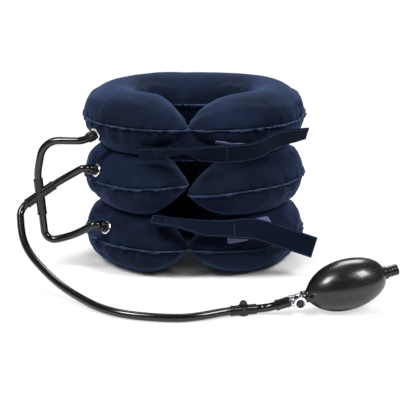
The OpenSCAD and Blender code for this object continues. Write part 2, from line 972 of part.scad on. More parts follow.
valve_knob();
valve_seal();
outlet_ball();
bulb();
intake_body();
intake_disc();
intake_retainer();
upper_strap();
upper_strap_tab();
upper_strap_tape();
upper_hook_patch();
lower_strap();
lower_strap_tab();
lower_strap_tape();
lower_hook_patch();
lower_label();
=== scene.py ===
import json
import math

import bmesh
import bpy
import numpy as np
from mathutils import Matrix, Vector, noise


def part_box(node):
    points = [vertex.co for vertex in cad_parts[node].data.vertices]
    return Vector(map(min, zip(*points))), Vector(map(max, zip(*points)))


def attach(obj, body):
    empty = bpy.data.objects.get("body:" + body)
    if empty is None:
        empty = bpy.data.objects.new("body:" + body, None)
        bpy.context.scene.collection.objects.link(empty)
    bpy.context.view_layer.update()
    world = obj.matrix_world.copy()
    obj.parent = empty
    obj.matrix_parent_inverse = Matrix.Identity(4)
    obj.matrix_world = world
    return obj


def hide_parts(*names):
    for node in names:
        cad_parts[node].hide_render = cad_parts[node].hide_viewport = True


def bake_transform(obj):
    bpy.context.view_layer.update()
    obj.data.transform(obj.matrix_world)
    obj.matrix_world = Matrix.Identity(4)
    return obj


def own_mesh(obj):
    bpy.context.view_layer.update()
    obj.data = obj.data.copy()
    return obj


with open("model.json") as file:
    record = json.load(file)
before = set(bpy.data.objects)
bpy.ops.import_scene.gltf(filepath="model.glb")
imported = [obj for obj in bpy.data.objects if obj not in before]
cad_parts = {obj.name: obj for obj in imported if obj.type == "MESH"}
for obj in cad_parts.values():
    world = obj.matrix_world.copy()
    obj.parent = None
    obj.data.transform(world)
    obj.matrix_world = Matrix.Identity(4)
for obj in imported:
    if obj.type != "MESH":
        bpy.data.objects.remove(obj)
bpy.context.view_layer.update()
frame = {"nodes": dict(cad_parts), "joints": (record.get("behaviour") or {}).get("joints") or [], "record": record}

MM = 0.001
TIERS = ("lower", "middle", "upper")
SHADED_DISH_RADIUS = 4.2 * MM
joints = {joint["name"]: joint for joint in frame["joints"]}

# ---------------------------------------------------------------------------
# Node materials
# ---------------------------------------------------------------------------


class Nodes:
    """A small hand for wiring one material's node tree."""

    def __init__(self, name):
        self.material = bpy.data.materials.new(name)
        self.material.use_nodes = True
        self.tree = self.material.node_tree
        self.shader = self.tree.nodes["Principled BSDF"]
        self.position = self.add("ShaderNodeTexCoord").outputs["Object"]

    def add(self, kind, **values):
        node = self.tree.nodes.new(kind)
        for key, value in values.items():
            if key in node.inputs:
                self.feed(node.inputs[key], value)
            else:
                setattr(node, key, value)
        return node

    def feed(self, socket, value):
        if isinstance(value, bpy.types.NodeSocket):
            self.tree.links.new(value, socket)
        else:
            socket.default_value = value

    def set(self, **values):
        for key, value in values.items():
            self.feed(self.shader.inputs[key.replace("_", " ")], value)

    def noise(self, scale, detail=2.0, roughness=0.5, stretch=(1, 1, 1)):
        place = self.add("ShaderNodeMapping", Scale=stretch, Vector=self.position)
        node = self.add("ShaderNodeTexNoise", Scale=scale, Detail=detail, Roughness=roughness)
        self.feed(node.inputs["Vector"], place.outputs["Vector"])
        return node.outputs["Fac"]

    def spread(self, value, low, high, to_low=0.0, to_high=1.0):
        node = self.add("ShaderNodeMapRange", clamp=True)
        for socket, number in zip(node.inputs, (value, low, high, to_low, to_high)):
            self.feed(socket, number)
        return node.outputs["Result"]

    def mix(self, share, first, second):
        node = self.add("ShaderNodeMix", data_type="RGBA")
        self.feed(node.inputs["Factor"], share)
        self.feed(node.inputs[6], first)
        self.feed(node.inputs[7], second)
        return node.outputs[2]

    def math(self, operation, first, second):
        node = self.add("ShaderNodeMath", operation=operation)
        self.feed(node.inputs[0], first)
        self.feed(node.inputs[1], second)
        return node.outputs[0]

    def overlay(self, share, upper):
        """Shows another shader over the main one where share is 1."""
        blend = self.add("ShaderNodeMixShader")
        self.feed(blend.inputs[0], share)
        self.feed(blend.inputs[1], self.shader.outputs[0])
        self.feed(blend.inputs[2], upper.outputs[0])
        self.feed(self.tree.nodes["Material Output"].inputs["Surface"], blend.outputs[0])

    def bump(self, height, strength, distance, under=None):
        node = self.add("ShaderNodeBump", Height=height, Strength=strength, Distance=distance)
        if under is not None:
            self.feed(node.inputs["Normal"], under)
        return node.outputs["Normal"]


def velour(name, dark, light, sheen_colour, sheen):
    """Short navy pile: brushed patches, a painted sheen that lightens the colour towards edges seen side-on, and a
    fine pile grain.
    """
    n = Nodes(name)
    patches = n.noise(26, 4, 0.6)
    brushed = n.noise(9, 3, 0.55, (1, 1, 2.2))
    tone = n.math("MULTIPLY", n.spread(patches, 0.3, 0.7), n.spread(brushed, 0.25, 0.75))
    # Painted sheen: the colour is lightened where the surface turns away from the view.
    painted_rim_sheen = n.add("ShaderNodeLayerWeight", Blend=0.42).outputs["Facing"]
    tone_and_painted_sheen = n.math("ADD", n.math("MULTIPLY", tone, 0.5), n.math("MULTIPLY", n.math("POWER", painted_rim_sheen, 2.6), 1.15))
    pile = n.noise(2600, 2, 0.6)
    tufts = n.noise(620, 3, 0.6)
    colour_with_painted_sheen = n.mix(n.spread(pile, 0.45, 0.75, 0.0, 0.25), n.mix(tone_and_painted_sheen, dark, light), light)
    rough = n.bump(pile, 0.35, 0.0003)
    n.set(
        Base_Color=colour_with_painted_sheen,
        Roughness=0.9,
        Specular_IOR_Level=0.1,
        Sheen_Weight=sheen,
        Sheen_Roughness=0.38,
        Sheen_Tint=sheen_colour,
        Normal=n.bump(tufts, 0.22, 0.0006, rough),
    )
    return n.material


def woven(name, dark, light, threads):
    """Brushed webbing: crossed threads with a little lint."""
    n = Nodes(name)
    waves = []
    for direction in ("X", "Z"):
        wave = n.add("ShaderNodeTexWave", bands_direction=direction, Scale=threads, Distortion=0.6)
        n.feed(wave.inputs["Vector"], n.position)
        waves.append(wave.outputs["Fac"])
    weave = n.math("MULTIPLY", waves[0], waves[1])
    lint = n.noise(900, 3, 0.7)
    tone = n.math("ADD", n.math("MULTIPLY", weave, 0.4), n.spread(lint, 0.45, 0.8, 0.0, 0.4))
    n.set(
        Base_Color=n.mix(tone, dark, light),
        Roughness=0.85,
        Specular_IOR_Level=0.06,
        Sheen_Weight=0.06,
        Sheen_Roughness=0.4,
        Sheen_Tint=(0.4, 0.55, 1, 1),
        Normal=n.bump(weave, 0.4, 0.0003, n.bump(lint, 0.3, 0.0003)),
    )
    return n.material


def glossy(name, colour, roughness, coat=0.3):
    """Moulded rubber or plastic: faint smears, dust and an uneven skin."""
    n = Nodes(name)
    smears = n.noise(45, 4, 0.6, (1, 1, 3))
    dust = n.noise(1400, 2, 0.7)
    orange_peel = n.noise(170, 2, 0.5)
    dusty = n.spread(dust, 0.62, 0.75, 0.0, 0.35)
    pale = [min(1.0, c * 2 + 0.004) for c in colour[:3]] + [1]
    n.set(
        Base_Color=n.mix(dusty, colour, pale),
        Roughness=n.spread(smears, 0.3, 0.75, roughness * 0.7, roughness * 1.6),
        Specular_IOR_Level=0.4,
        Coat_Weight=coat,
        Coat_Roughness=0.08,
        Normal=n.bump(orange_peel, 0.06, 0.0006),
    )
    return n.material


def plated(name, colour, roughness):
    """Plated metal with fine polishing lines and finger smears."""
    n = Nodes(name)
    lines = n.noise(900, 2, 0.6, (1, 1, 0.08))
    smears = n.noise(120, 3, 0.6)
    n.set(
        Base_Color=n.mix(n.spread(smears, 0.3, 0.8, 0.0, 0.5), colour, [c * 0.82 for c in colour[:3]] + [1]),
        Metallic=1.0,
        Roughness=n.spread(smears, 0.3, 0.75, roughness * 0.6, roughness * 2.2),
        Normal=n.bump(lines, 0.05, 0.0002),
    )
    return n


def metal(name, colour, roughness):
    return plated(name, colour, roughness).material


def knob_metal(name, colour, roughness):
    """Chrome with painted shade on a disc in the middle of the knob, where its hollow dish lies in shade."""
    n = plated(name, colour, roughness)
    axis = Vector(joints["knob_turn"]["axis"]).normalized()
    offset = n.add("ShaderNodeVectorMath", operation="SUBTRACT")
    n.feed(offset.inputs[0], n.position)
    n.feed(offset.inputs[1], joints["knob_turn"]["pos_m"])
    across = n.add("ShaderNodeVectorMath", operation="CROSS_PRODUCT")
    n.feed(across.inputs[0], offset.outputs[0])
    n.feed(across.inputs[1], axis)
    radius = n.add("ShaderNodeVectorMath", operation="LENGTH")
    n.feed(radius.inputs[0], across.outputs[0])
    # Painted shade in the knob's hollow dish.
    dish_shade = n.add("ShaderNodeBsdfPrincipled", Roughness=0.3)
    n.feed(dish_shade.inputs["Base Color"], (0.006, 0.007, 0.01, 1))
    n.overlay(n.math("LESS_THAN", radius.outputs["Value"], SHADED_DISH_RADIUS), dish_shade)
    return n.material


def floor_paint(name):
    """Plain paper that glows white to the camera only. The glow is left out within 9 cm of the collar's
    middle, so that the neck opening stays dark, and is full from 0.9 m out."""
    n = Nodes(name)
    tooth = n.noise(300, 3, 0.6)
    n.set(
        Base_Color=n.mix(tooth, (0.8, 0.8, 0.805, 1), (0.84, 0.84, 0.84, 1)),
        Roughness=0.8,
        Specular_IOR_Level=0.1,
        Normal=n.bump(tooth, 0.02, 0.0005),
    )
    seen = n.add("ShaderNodeLightPath").outputs["Is Camera Ray"]
    away = n.add("ShaderNodeVectorMath", operation="DISTANCE")
    n.feed(away.inputs[0], n.position)
    away.inputs[1].default_value = (0, COLLAR_MIDDLE_Y, 0)
    near = n.spread(away.outputs["Value"], 0.09, 0.16, 0.0, 0.62)
    glow = n.math("ADD", near, n.spread(away.outputs["Value"], 0.3, 0.9, 0.0, 0.38))
    n.overlay(n.math("MULTIPLY", glow, seen), n.add("ShaderNodeEmission", Color=(1, 1, 1, 1), Strength=1.02))
    return n.material


NAVY_VELOUR = velour(
    "navy_velour", (0.0008, 0.0024, 0.0068, 1), (0.014, 0.026, 0.072, 1), (0.32, 0.5, 1.0, 1), 0.09
)
# The seam edges get a lighter copy of the navy velour: a painted highlight on the raised welts.
PAINTED_LIT_SEAM_VELOUR = velour(
    "seam_velour_painted_highlight", (0.005, 0.011, 0.027, 1), (0.027, 0.045, 0.1, 1), (0.4, 0.6, 1.0, 1), 0.25
)
STRAP_CLOTH = woven("strap_cloth", (0.0008, 0.0026, 0.0075, 1), (0.0052, 0.0115, 0.03, 1), 1500)
HOOK_TAPE = woven("hook_tape", (0.12, 0.12, 0.26, 1), (0.26, 0.26, 0.42, 1), 900)
LOOP_TAPE = woven("loop_tape", (0.003, 0.004, 0.01, 1), (0.012, 0.015, 0.03, 1), 700)
THREAD = woven("thread", (0.035, 0.052, 0.11, 1), (0.1, 0.14, 0.26, 1), 2500)
HOSE_RUBBER = glossy("hose_rubber", (0.0014, 0.0015, 0.0019, 1), 0.13, 0.2)
BULB_RUBBER = glossy("bulb_rubber", (0.003, 0.0032, 0.0037, 1), 0.26, 0.25)
FITTING_BLACK = glossy("fitting_black", (0.0012, 0.0013, 0.0016, 1), 0.2, 0.0)
SEAL_BLACK = glossy("seal_black", (0.03, 0.03, 0.03, 1), 0.55, 0.0)
BLADDER_FILM = glossy("bladder_film", (0.4, 0.45, 0.5, 1), 0.4, 0.1)
NICKEL = metal("nickel", (0.78, 0.77, 0.75, 1), 0.16)
CHROME = metal("chrome", (0.82, 0.83, 0.85, 1), 0.08)
KNOB_CHROME = knob_metal("knob_chrome", (0.82, 0.83, 0.85, 1), 0.1)

# ---------------------------------------------------------------------------
# Mesh tools
# ---------------------------------------------------------------------------


def add_mesh(name, points, faces, material):
    data = bpy.data.meshes.new(name)
    data.from_pydata([tuple(p) for p in points], [], faces)
    data.validate()
    piece = bpy.data.objects.new(name, data)
    bpy.context.scene.collection.objects.link(piece)
    data.materials.append(material)
    work = bmesh.new()
    work.from_mesh(data)
    bmesh.ops.recalc_face_normals(work, faces=work.faces)
    work.to_mesh(data)
    work.free()
    data.shade_smooth()
    return piece


def points_of(piece):
    found = np.zeros(len(piece.data.vertices) * 3)
    piece.data.vertices.foreach_get("co", found)
    return found.reshape(-1, 3)


def move_points(piece, points):
    piece.data.vertices.foreach_set("co", np.asarray(points, float).ravel())
    piece.data.update()


def apply_modifiers(piece):
    graph = bpy.context.evaluated_depsgraph_get()
    graph.update()
    made = bpy.data.meshes.new_from_object(piece.evaluated_get(graph))
    piece.modifiers.clear()
    piece.data = made


def wander(points, size, seed):
    """Smooth noise between about -1 and 1 at each point."""
    shift = Vector((seed * 7.3, seed * 3.1, seed * 5.7))
    return np.array([noise.noise(Vector(p) / size + shift) for p in points])


def fade(value, reach):
    return np.exp(-np.abs(value) / reach)


def grid_faces(rows, columns, closed_columns):
    faces = []
    for i in range(rows - 1):
        for j in range(columns if closed_columns else columns - 1):
            m = (j + 1) % columns
            here, there = i * columns, (i + 1) * columns
            faces.append((here + j, here + m, there + m, there + j))
    return faces


def shell(name, outer, inner, material):
    """A closed piece from an outer and an inner grid of points with rims between."""
    rows, columns = outer.shape[:2]
    count = rows * columns
    faces = grid_faces(rows, columns, False)
    faces += [tuple(count + v for v in reversed(f)) for f in faces]
    edge = list(range(columns))
    edge += [i * columns + columns - 1 for i in range(1, rows)]
    edge += [(rows - 1) * columns + j for j in range(columns - 2, -1, -1)]
    edge += [i * columns for i in range(rows - 2, 0, -1)]
    for v, w in zip(edge, edge[1:] + edge[:1]):
        faces.append((w, v, count + v, count + w))
    points = np.vstack([outer.reshape(-1, 3), inner.reshape(-1, 3)])
    return add_mesh(name, points, faces, material)


def loft(name, rings, material, closed=False):
    """A closed piece through rings of points, round in a loop or capped at both ends."""
    rows, columns = rings.shape[:2]
    faces = grid_faces(rows, columns, True)
    if closed:
        last = (rows - 1) * columns
        for j in range(columns):
            m = (j + 1) % columns
            faces.append((last + j, last + m, m, j))
    else:
        faces.append(tuple(range(columns)))
        faces.append(tuple(range((rows - 1) * columns, rows * columns)))
    return add_mesh(name, rings.reshape(-1, 3), faces, material)


def refined(node, name, material, swell):
    """A smooth copy of a faceted CAD tube: its quads, subdivided and pushed out."""
    piece = bpy.data.objects.new(name, frame["nodes"][node].data.copy())
    bpy.context.scene.collection.objects.link(piece)
    work = bmesh.new()
    work.from_mesh(piece.data)
    bmesh.ops.remove_doubles(work, verts=work.verts, dist=0.00001)
    bmesh.ops.join_triangles(
        work, faces=work.faces, angle_face_threshold=math.radians(30), angle_shape_threshold=math.radians(60)
    )
    work.to_mesh(piece.data)
    work.free()
    piece.modifiers.new("smooth", "SUBSURF").levels = 2
    apply_modifiers(piece)
    normals = np.array([v.normal for v in piece.data.vertices])
    move_points(piece, points_of(piece) + swell * normals)
    piece.data.materials.clear()
    piece.data.materials.append(material)
    piece.data.shade_smooth()
    return piece


# ---------------------------------------------------------------------------
# The three tiers: padded C-shaped tubes, inflated by cloth simulation
# ---------------------------------------------------------------------------

TUBE_W = 66 * MM
TUBE_H = 68 * MM
RING_DEPTH = 70 * MM
TIP_GAP = 0.3 * MM
TIP_HALF_W = 3 * MM
TIP_HALF_H = 3.4 * MM
TIP_ROUND = 3 * MM
TAPER_W = 46 * MM
TAPER_H = 58 * MM
NOTCH = -6 * MM
RING_POWER = 2.3
SECTION_POWER = 2.1
TIP_PUSH = 0.6
DROOP = {"lower": 0.0, "middle": 5 * MM, "upper": 0.0}
STATIONS = 280
AROUND = 64
COVER = 2 * MM
START_INSET = 1.6 * MM
MOST_OUT = 0.25 * MM
MOST_IN = -2.6 * MM


def rounded(distance, reach):
    share = np.minimum(distance / reach, 1)
    return np.sqrt(np.clip(1 - (1 - share) ** 2, 0, 1))


def signed_power(value, power):
    return np.sign(value) * np.abs(value) ** power


class Tier:
    """The skin of one tier, worked out from the boxes of its CAD panels and seam."""

    def __init__(self, name):
        low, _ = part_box(name + "_cover_bottom")
        _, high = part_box(name + "_cover_top")
        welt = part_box(name + "_seam_welt")
        self.name = name
        self.low = low.z
        self.high = high.z
        self.half_x = high.x - TUBE_W / 2
        self.centre_y = high.y - TUBE_W / 2 - RING_DEPTH
        self.seam = (welt[0].z + welt[1].z) / 2

    def reach(self, phi):
        side = (np.abs(np.sin(phi)) / self.half_x) ** RING_POWER
        return (side + (np.abs(np.cos(phi)) / RING_DEPTH) ** RING_POWER) ** (-1 / RING_POWER)

    def from_tip(self, phi):
        along = np.maximum(self.reach(phi) * np.abs(np.sin(phi)) - TIP_GAP / 2, 0)
        return np.where(np.cos(phi) > 0, along, 1.0)

    def near_tip(self, phi):
        near = np.maximum(0, 1 - self.from_tip(phi) / TAPER_H)
        return near * near * (3 - 2 * near)

    def ring(self, phi):
        r = self.reach(phi)
        x = -r * np.sin(phi) + NOTCH * self.near_tip(phi)
        return np.stack([x, self.centre_y - r * np.cos(phi)], -1)

    def outward(self, phi):
        t = self.ring(phi + 0.009) - self.ring(phi - 0.009)
        return np.stack([-t[..., 1], t[..., 0]], -1) / np.linalg.norm(t, axis=-1)[..., None]

    def seam_height(self, phi):
        return self.seam + DROOP[self.name] * self.near_tip(phi) * np.where(phi < math.pi, 1, -1)

    def skin(self, phi, psi, inset):
        """Points of the skin; psi is 0 at the outer seam and a quarter turn at the top."""
        d = self.from_tip(phi)
        fat = rounded(d, TAPER_W)
        end = np.maximum(rounded(d, TIP_ROUND), 0.05)
        w = (TIP_HALF_W + (TUBE_W / 2 - TIP_HALF_W) * fat) * end
        corner = 1 - np.maximum(0, 1 - d / TAPER_H) ** 2.5
        h = (TIP_HALF_H + (TUBE_H / 2 - TIP_HALF_H) * corner) * end
        w = w - np.minimum(inset, 0.4 * w)
        h = h - np.minimum(inset, 0.4 * h)
        out = TIP_PUSH * TUBE_W / 2 * (1 - fat) + w * signed_power(np.cos(psi), 2 / SECTION_POWER)
        z = self.seam_height(phi) + h * signed_power(np.sin(psi), 2 / SECTION_POWER)
        flat = self.ring(phi) + out[..., None] * self.outward(phi)
        return np.concatenate([flat, self.settle(z)[..., None]], -1)

    def settle(self, z):
        """Flattens the skin, with a soft turn, where it rests on the floor or a neighbour."""
        soft = 1.5 * MM
        for limit, sign in ((self.low, -1), (self.high, 1)):
            if self.name == "upper" and sign > 0:
                continue
            over = (z - limit) * sign + soft
            eased = limit + sign * (-soft + soft * (1 - np.exp(-np.maximum(over, 0) / soft)))
            z = np.where(over > 0, eased, z)
        return z

    def free_of_contact(self, z):
        """0 where the skin presses on the floor or a neighbour, 1 a little way from there."""
        gap = np.minimum(z - self.low, 1.0 if self.name == "upper" else self.high - z)
        return np.clip((gap - 0.5 * MM) / (6 * MM), 0, 1)

    def grid(self):
        """Angles round the ring and round the tube, closer at the tips and at the seams."""
        start = math.degrees(math.asin(TIP_GAP / 2 / RING_DEPTH))
        u = np.linspace(-1, 1, STATIONS)
        phi = np.radians(180 + np.sign(u) * (180 - start) * (1 - (1 - np.abs(u)) ** 1.6))
        turn = np.linspace(0, 2 * math.pi, AROUND, endpoint=False)
        psi = turn - 0.28 * np.sin(2 * turn)
        return np.meshgrid(phi, psi, indexing="ij")


def inflate(piece, pinned, frames):
    """Blows the skin up against its sewn seams; it has a little more cloth than it needs."""
    group = piece.vertex_groups.new(name="pinned")
    group.add([int(v) for v in np.nonzero(pinned)[0]], 1.0, "REPLACE")
    cloth = piece.modifiers.new("cloth", "CLOTH")
    cloth.settings.quality = 4
    cloth.settings.mass = 0.3
    cloth.settings.tension_stiffness = 14
    cloth.settings.compression_stiffness = 14
    cloth.settings.shear_stiffness = 4
    cloth.settings.bending_stiffness = 0.15
    cloth.settings.use_pressure = True
    cloth.settings.uniform_pressure_force = 4
    cloth.settings.shrink_min = -0.06
    cloth.settings.vertex_group_mass = "pinned"
    cloth.settings.effector_weights.gravity = 0
    cloth.collision_settings.use_collision = False
    cloth.collision_settings.use_self_collision = False
    cloth.point_cache.frame_start = 1
    cloth.point_cache.frame_end = frames
    scene = bpy.context.scene
    for number in range(1, frames + 1):
        scene.frame_set(number)
    graph = bpy.context.evaluated_depsgraph_get()
    after = points_of(piece.evaluated_get(graph))
    piece.modifiers.clear()
    scene.frame_set(1)
    return after


def tube_faces():
    faces = grid_faces(STATIONS, AROUND, True)
    faces.append(tuple(range(AROUND)))
    faces.append(tuple(range((STATIONS - 1) * AROUND, STATIONS * AROUND)))
    return faces


def inflated(tier, phi, psi):
    """The simulated skin, held between a little outside and some way inside its CAD place."""
    full = tier.skin(phi, psi, 0).reshape(-1, 3)
    start = tier.skin(phi, psi, START_INSET).reshape(-1, 3)
    rough = add_mesh(tier.name + "_rough", start, tube_faces(), NAVY_VELOUR)
    pinned = np.zeros((STATIONS, AROUND))
    pinned[:, 0] = 1
    pinned[:, AROUND // 2] = 1
    pinned[:3] = 1
    pinned[-3:] = 1
    after = inflate(rough, pinned.ravel(), 12)
    bpy.data.objects.remove(rough)
    out = sideways(full.reshape(STATIONS, AROUND, 3)).reshape(-1, 3)
    along = ((after - full) * out).sum(1)
    along -= np.percentile(along[pinned.ravel() == 0], 75)
    depth = MOST_IN * (1 - tier.near_tip(phi).ravel()) * tier.free_of_contact(full[:, 2])
    return full + np.clip(along, depth, MOST_OUT)[:, None] * out


def sideways(rows):
    """Directions away from the middle of the tube's section at each point of the skin."""
    away = rows - rows.mean(1, keepdims=True)
    return away / np.maximum(np.linalg.norm(away, axis=2, keepdims=True), 1e-9)


def pucker(tier, rows, phi, seed):
    """Sewn creases beside the seams, folds at the tips and a hand-filled unevenness."""
    flat = rows.reshape(-1, 3)
    below = (rows[..., 2] - tier.seam_height(phi)).ravel()
    along = np.concatenate([[0], np.cumsum(np.linalg.norm(np.diff(rows[:, 0], axis=0), axis=1))])
    length = np.repeat(along, AROUND)
    side = np.repeat(np.arange(AROUND)[None] > AROUND // 2, len(along), 0).ravel() * 0.05
    stripes = np.stack([length, below * 0.3, side], 1)
    fine = wander(stripes, 7 * MM, seed + 1) + 0.8 * wander(stripes, 13 * MM, seed + 2) - 0.35
    soft = 1.1 * wander(flat, 46 * MM, seed + 3) + 0.5 * wander(flat, 19 * MM, seed + 4) - 0.3
    tips = tier.near_tip(phi).ravel() ** 2
    section = np.stack([length * 0.3, below * 1.4, flat[:, 1] * 1.4], 1)
    folds = wander(section, 13 * MM, seed + 5)
    lift = -1.1 * fade(below, 1.8 * MM) + 3.8 * fine * fade(below, 8 * MM) * (1 - fade(below, 1.0 * MM))
    lift += 0.8 * soft * (1 - fade(below, 8 * MM)) + 1.7 * tips * folds * (1 - fade(below, 3 * MM))
    return lift.reshape(rows.shape[:2]) * MM


def make_covers(tier, seed):
    phi, psi = tier.grid()
    rows = inflated(tier, phi, psi).reshape(STATIONS, AROUND, 3)
    away = sideways(rows)
    lift = np.minimum(pucker(tier, rows, phi, seed), MOST_OUT * 2)
    tips = rounded(tier.from_tip(phi), 6 * MM)
    rows = rows + (lift * tips)[..., None] * away
    rows[..., 2] = np.maximum(rows[..., 2], tier.low + 0.05 * MM)
    if tier.name != "upper":
        rows[..., 2] = np.minimum(rows[..., 2], tier.high - 0.05 * MM)
    middle = rows.mean(1, keepdims=True)
    size = np.linalg.norm(rows - middle, axis=2, keepdims=True)
    inner = rows + (middle - rows) * np.minimum(COVER / np.maximum(size, 1e-9), 0.4)
    half = AROUND // 2
    upper = list(range(half + 1))
    lower = list(range(half, AROUND)) + [0]
    for part, columns in (("top", upper), ("bottom", lower)):
        node = tier.name + "_cover_" + part
        cover = shell(node + "_velour", rows[:, columns], inner[:, columns], NAVY_VELOUR)
        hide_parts(node)
        soften(cover, tier, rests=(node == "lower_cover_bottom"))


def soften(piece, tier, rests=False):
    """Puts a soft piece on its tier's body, or on the base where it rests on the floor, and gives it a mesh of its
    own.
    """
    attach(piece, "base" if rests else tier.name + "_tier")
    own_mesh(piece)


def make_welt(tier, seed):
    """The narrow sewn edge that stands out of the seam all round, never quite straight."""
    coarse = tier.grid()[0][:, 0]
    phi = np.interp(np.linspace(0, 1, 3 * STATIONS), np.linspace(0, 1, STATIONS), coarse)
    outer = tier.skin(phi, np.zeros_like(phi), 0)
    inner = tier.skin(phi, np.full_like(phi, math.pi), 0)
    path = np.vstack([outer, inner[::-1]])
    path[:, 2] = np.concatenate([tier.seam_height(phi), tier.seam_height(phi)[::-1]])
    tangent = np.roll(path, -1, 0) - np.roll(path, 1, 0)
    out = np.stack([tangent[:, 1], -tangent[:, 0], np.zeros(len(path))], 1)
    out /= np.maximum(np.linalg.norm(out, axis=1, keepdims=True), 1e-9)
    if (out[0] * tier_out(tier, phi[0])).sum() < 0:
        out = -out
    from_tip = np.concatenate([tier.from_tip(phi), tier.from_tip(phi)[::-1]])
    ease = 0.12 + 0.88 * rounded(from_tip, 7 * MM)
    wave = wander(path, 10 * MM, seed + 11) + 0.8 * wander(path, 4 * MM, seed + 12)
    ruffle = wander(path, 7 * MM, seed + 13)
    height = (2.3 * wave * ease * MM)[:, None]
    length = ((2.1 + 1.3 * ruffle) * ease * MM)[:, None]
    thick = ((0.62 + 0.16 * wander(path, 4 * MM, seed + 14)) * MM)[:, None]
    up = np.array([[0, 0, 1.0]])
    lower_half = ((-1.3, -0.8), (0.25, -1), (0.75, -0.95), (1, -0.4))
    section = lower_half + tuple((reach, -side) for reach, side in reversed(lower_half))
    rings = []
    for reach, side in section:
        share = max(reach, 0)
        inward = 1.1 * MM * min(reach, 0)
        rings.append(path + out * (length * share + inward) + up * (height * share + thick * side))
    welt = loft(tier.name + "_seam_edge", np.stack(rings, 1), PAINTED_LIT_SEAM_VELOUR, closed=True)
    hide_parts(tier.name + "_seam_welt")
    soften(welt, tier)


def tier_out(tier, phi):
    out = tier.outward(np.array([phi]))[0]
    return np.array([out[0], out[1], 0])


def make_soft_copies(tier):
    """The film bladder and the sewn patches: smooth copies that go with their tier."""
    bladder = refined(tier.name + "_bladder", tier.name + "_bladder_film", BLADDER_FILM, 0)
    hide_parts(tier.name + "_bladder")
    soften(bladder, tier)
    for node in PATCHES[tier.name]:
        patch = refined(node, node + "_sewn", HOOK_TAPE, 0.6 * MM)
        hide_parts(node)
        soften(patch, tier)


COLLAR_MIDDLE_Y = Tier("upper").centre_y
PATCHES = {"lower": ("lower_hook_patch", "lower_label"), "middle": (), "upper": ("upper_hook_patch",)}
for number, tier_name in enumerate(TIERS):
    current = Tier(tier_name)
    make_covers(current, 20 * number)
    make_welt(current, 20 * number)
    make_soft_copies(current)

# ---------------------------------------------------------------------------
# Straps, tabs and tapes: ribbons through the stations of their CAD solids
# ---------------------------------------------------------------------------

ACROSS = 22


def is_hub(vertex):
    """The middle of a flat end cap, where four triangles of one plane meet."""
    level = vertex.link_faces[0].normal
    return len(vertex.link_edges) == 4 and all(f.normal.dot(level) > 0.999 for f in vertex.link_faces)


def long_edges(node):
    """The four long edges of a CAD ribbon, each a row of points from left to right."""
    work = bmesh.new()
    work.from_mesh(frame["nodes"][node].data)
    bmesh.ops.remove_doubles(work, verts=work.verts, dist=0.00001)
    hubs = {v for v in work.verts if is_hub(v)}
    sharp = [e for e in work.edges if e.calc_face_angle(0) > math.radians(60)]
    sharp = [e for e in sharp if not any(v in hubs for f in e.link_faces for v in f.verts)]
    links = {}
    for e in sharp:
        for v, w in (e.verts, reversed(e.verts)):
            links.setdefault(v, []).append(w)
    chains = []
    for end in [v for v, near in links.items() if len(near) == 1]:
        chain, before = [end], None
        while True:
            ahead = [v for v in links[chain[-1]] if v is not before]
            if not ahead:
                break
            before = chain[-1]
            chain.append(ahead[0])
        if chain[0].co.x < chain[-1].co.x:
            chains.append(np.array([tuple(v.co) for v in chain]))
    work.free()
    return chains


def ribbon_frame(node):
    """Middle line, half width and half thickness vectors of a CAD ribbon."""
    chains = long_edges(node)
    middle = sum(chains) / 4
    first = chains[0]
    gaps = sorted(chains[1:], key=lambda c: np.linalg.norm(c - first, axis=1).mean())
    mate, across = gaps[0], gaps[1]
    thick = (mate - first) / 2
    wide = (across - first) / 2
    wide *= np.sign(wide[:, 2:3].sum())
    facing = np.cross(wide, np.gradient(middle, axis=0))
    thick *= np.sign((thick * facing).sum(1, keepdims=True))
    return middle, wide, thick


def resample(rows, count):
    """Eased points through rows of points, count of them."""
    at = np.linspace(0, len(rows) - 1, count)
    i = np.clip(np.floor(at).astype(int), 0, len(rows) - 2)
    f = (at - i)[:, None]
    a, b = rows[np.maximum(i - 1, 0)], rows[i]
    c, d = rows[i + 1], rows[np.minimum(i + 2, len(rows) - 1)]
    return 0.5 * (2 * b + (c - a) * f + (2 * a - 5 * b + 4 * c - d) * f**2 + (3 * b - 3 * c + d - a) * f**3)


def ribbon(node, name, material, count, hem, flutter, seed):
    """A sewn ribbon: folded hems, thin edges and a slightly wavy run."""
    middle, wide, thick = (resample(v, count) for v in ribbon_frame(node))
    v = np.sin(np.linspace(-math.pi / 2, math.pi / 2, ACROSS))
    folded = 1 - hem * (1 - 1 / (1 + np.exp((0.72 - np.abs(v)) / 0.03)))
    edge = np.sqrt(np.clip(1 - np.maximum((np.abs(v) - 0.93) / 0.07, 0) ** 2, 0.02, 1))
    half = (folded * edge)[None, :, None] * thick[:, None]
    surface = middle[:, None] + v[None, :, None] * wide[:, None]
    shape = surface.shape[:2]
    points = surface.reshape(-1, 3)
    wave = (wander(points, 26 * MM, seed) + 0.4 * wander(points, 9 * MM, seed + 1)).reshape(shape)
    toward = thick / np.linalg.norm(thick, axis=1, keepdims=True)
    surface = surface + (flutter * wave)[..., None] * toward[:, None]
    rings = np.concatenate([surface + half, (surface - half)[:, ::-1]], 1)
    piece = loft(name, rings, material)
    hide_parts(node)
    return piece, (surface, half, toward)


